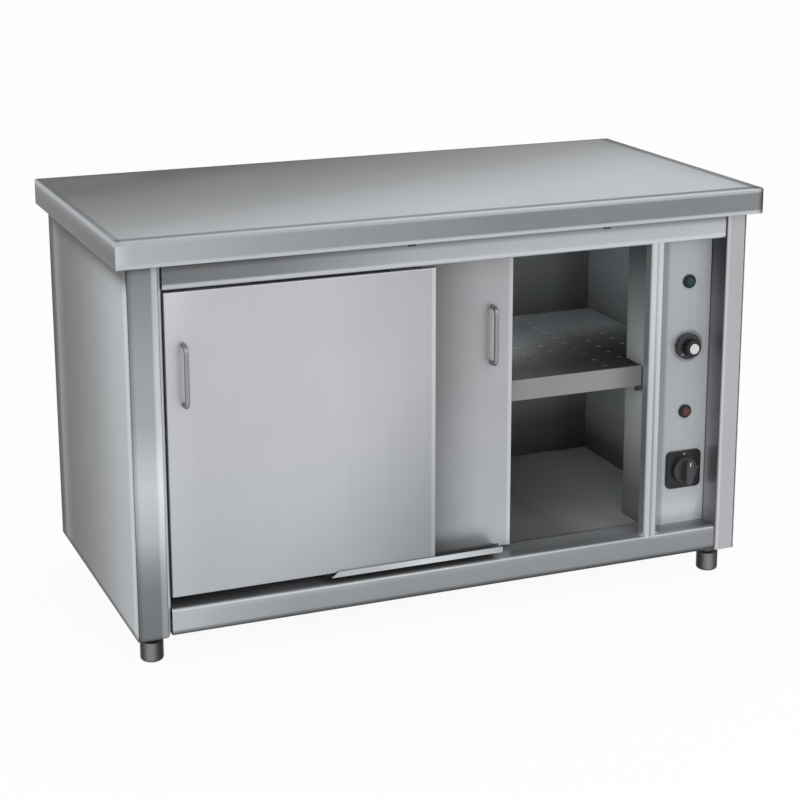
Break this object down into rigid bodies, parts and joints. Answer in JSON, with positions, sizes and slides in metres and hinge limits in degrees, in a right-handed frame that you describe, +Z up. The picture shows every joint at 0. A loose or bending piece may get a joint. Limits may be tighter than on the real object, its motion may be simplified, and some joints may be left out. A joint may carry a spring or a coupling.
{
  "type": "hot buffet counter",
  "caption": "Free-standing steel hot cupboard with a flat worktop, two top-hung sliding doors, a perforated shelf, a heated base and a recessed control panel.",
  "frame": {"origin": "on the floor, under the middle of the worktop", "axes": "+X to the right seen from the front, +Y from the front to the back, +Z up"},
  "size_m": [1.4, 0.7, 0.87],
  "materials": {
    "outer_steel": "brushed stainless steel",
    "inner_steel": "satin stainless steel, in shade",
    "door_steel": "brushed stainless steel",
    "handle_steel": "polished stainless rod",
    "galvanised_steel": "zinc-plated steel",
    "dark_steel": "black phosphated steel",
    "machined_steel": "turned steel",
    "element_steel": "heat-darkened steel tube",
    "foot_steel": "dark satin steel",
    "roller_plastic": "white nylon",
    "stop_rubber": "black rubber",
    "insulation": "mineral wool",
    "lamp_plastic": "black moulded plastic",
    "green_lens": "translucent dark green",
    "red_lens": "translucent dark red",
    "dial_metal": "satin, with printed marks",
    "knob_plastic": "black moulded plastic",
    "cap_chrome": "bright",
    "probe_copper": "drawn copper tube",
    "switch_plastic": "black moulded plastic",
    "device_plastic": "grey moulded plastic",
    "terminal_plastic": "ivory moulded plastic",
    "gland_plastic": "dark grey nylon"
  },
  "bodies": {
    "cabinet": {"worktop": "outer_steel", "left_side_panel": "outer_steel", "right_side_panel": "outer_steel", "back_panel": "outer_steel", "left_stile": "outer_steel", "right_stile": "outer_steel", "left_jamb": "outer_steel", "top_rail": "outer_steel", "bottom_rail": "outer_steel", "mullion": "outer_steel", "control_panel_plate": "outer_steel", "liner_walls": "inner_steel", "liner_ceiling": "inner_steel", "cabinet_floor": "inner_steel", "control_bay_wall": "inner_steel", "shelf_brackets": "inner_steel", "worktop_stiffeners": "galvanised_steel", "base_pan": "galvanised_steel", "track_header": "galvanised_steel", "door_tracks": "galvanised_steel", "heater_pan": "galvanised_steel", "back_panel_screws": "galvanised_steel", "bottom_guide": "galvanised_steel", "worktop_clips": "dark_steel", "foot_studs": "machined_steel", "heating_elements": "element_steel", "track_stops": "stop_rubber", "insulation_slabs": "insulation", "lamp_bodies": "lamp_plastic", "green_lamp_lens": "green_lens", "red_lamp_lens": "red_lens", "thermostat_dial": "dial_metal", "thermostat_probe": "probe_copper", "switch_plate": "switch_plastic", "thermostat_body": "device_plastic", "switch_body": "device_plastic", "terminal_block": "terminal_plastic", "cable_gland": "gland_plastic"},
    "left_door": {"left_door_outer_skin": "door_steel", "left_door_inner_skin": "door_steel", "left_door_handle": "handle_steel", "left_door_hangers": "dark_steel"},
    "right_door": {"right_door_outer_skin": "door_steel", "right_door_inner_skin": "door_steel", "right_door_handle": "handle_steel", "right_door_hangers": "dark_steel"},
    "thermostat_knob": {"thermostat_knob": "knob_plastic", "thermostat_cap": "cap_chrome", "thermostat_shaft": "machined_steel"},
    "switch_knob": {"switch_knob": "switch_plastic"},
    "shelf": {"perforated_shelf": "inner_steel"},
    "left_door_left_roller": {"left_door_left_roller": "roller_plastic"},
    "left_door_right_roller": {"left_door_right_roller": "roller_plastic"},
    "right_door_left_roller": {"right_door_left_roller": "roller_plastic"},
    "right_door_right_roller": {"right_door_right_roller": "roller_plastic"},
    "front_left_foot": {"front_left_foot": "foot_steel"},
    "front_right_foot": {"front_right_foot": "foot_steel"},
    "rear_left_foot": {"rear_left_foot": "foot_steel"},
    "rear_right_foot": {"rear_right_foot": "foot_steel"}
  },
  "joints": [
    {"name": "left_door_slide", "type": "slide", "parent": "cabinet", "child": "left_door", "axis": [1, 0, 0], "range_m": [0, 0.487]},
    {"name": "right_door_slide", "type": "slide", "parent": "cabinet", "child": "right_door", "axis": [1, 0, 0], "range_m": [-0.193, 0.318]},
    {"name": "left_door_left_roller_turn", "type": "hinge", "parent": "left_door", "child": "left_door_left_roller", "pos_m": [-0.53, -0.2993, 0.787], "axis": [0, 1, 0], "range_deg": [0, 2150]},
    {"name": "left_door_right_roller_turn", "type": "hinge", "parent": "left_door", "child": "left_door_right_roller", "pos_m": [-0.107, -0.2993, 0.787], "axis": [0, 1, 0], "range_deg": [0, 2150]},
    {"name": "right_door_left_roller_turn", "type": "hinge", "parent": "right_door", "child": "right_door_left_roller", "pos_m": [-0.337, -0.2533, 0.787], "axis": [0, 1, 0], "range_deg": [-855, 1405]},
    {"name": "right_door_right_roller_turn", "type": "hinge", "parent": "right_door", "child": "right_door_right_roller", "pos_m": [0.086, -0.2533, 0.787], "axis": [0, 1, 0], "range_deg": [-855, 1405]},
    {"name": "thermostat_turn", "type": "hinge", "parent": "cabinet", "child": "thermostat_knob", "pos_m": [0.574, -0.2698, 0.518], "axis": [0, 1, 0], "range_deg": [0, 270]},
    {"name": "switch_turn", "type": "hinge", "parent": "cabinet", "child": "switch_knob", "pos_m": [0.574, -0.2733, 0.2375], "axis": [0, 1, 0], "range_deg": [0, 90]},
    {"name": "shelf_lift", "type": "slide", "parent": "cabinet", "child": "shelf", "axis": [0, 0, 1], "range_m": [0, 0.04]},
    {"name": "front_left_foot_screw", "type": "slide", "parent": "cabinet", "child": "front_left_foot", "axis": [0, 0, 1], "range_m": [0, 0.013]},
    {"name": "front_right_foot_screw", "type": "slide", "parent": "cabinet", "child": "front_right_foot", "axis": [0, 0, 1], "range_m": [0, 0.013]},
    {"name": "rear_left_foot_screw", "type": "slide", "parent": "cabinet", "child": "rear_left_foot", "axis": [0, 0, 1], "range_m": [0, 0.013]},
    {"name": "rear_right_foot_screw", "type": "slide", "parent": "cabinet", "child": "rear_right_foot", "axis": [0, 0, 1], "range_m": [0, 0.013]}
  ],
  "couplings": [
    {"joint": "left_door_left_roller_turn", "follows": "left_door_slide", "rad_per_m": 76.923},
    {"joint": "left_door_right_roller_turn", "follows": "left_door_slide", "rad_per_m": 76.923},
    {"joint": "right_door_left_roller_turn", "follows": "right_door_slide", "rad_per_m": 76.923},
    {"joint": "right_door_right_roller_turn", "follows": "right_door_slide", "rad_per_m": 76.923}
  ]
}
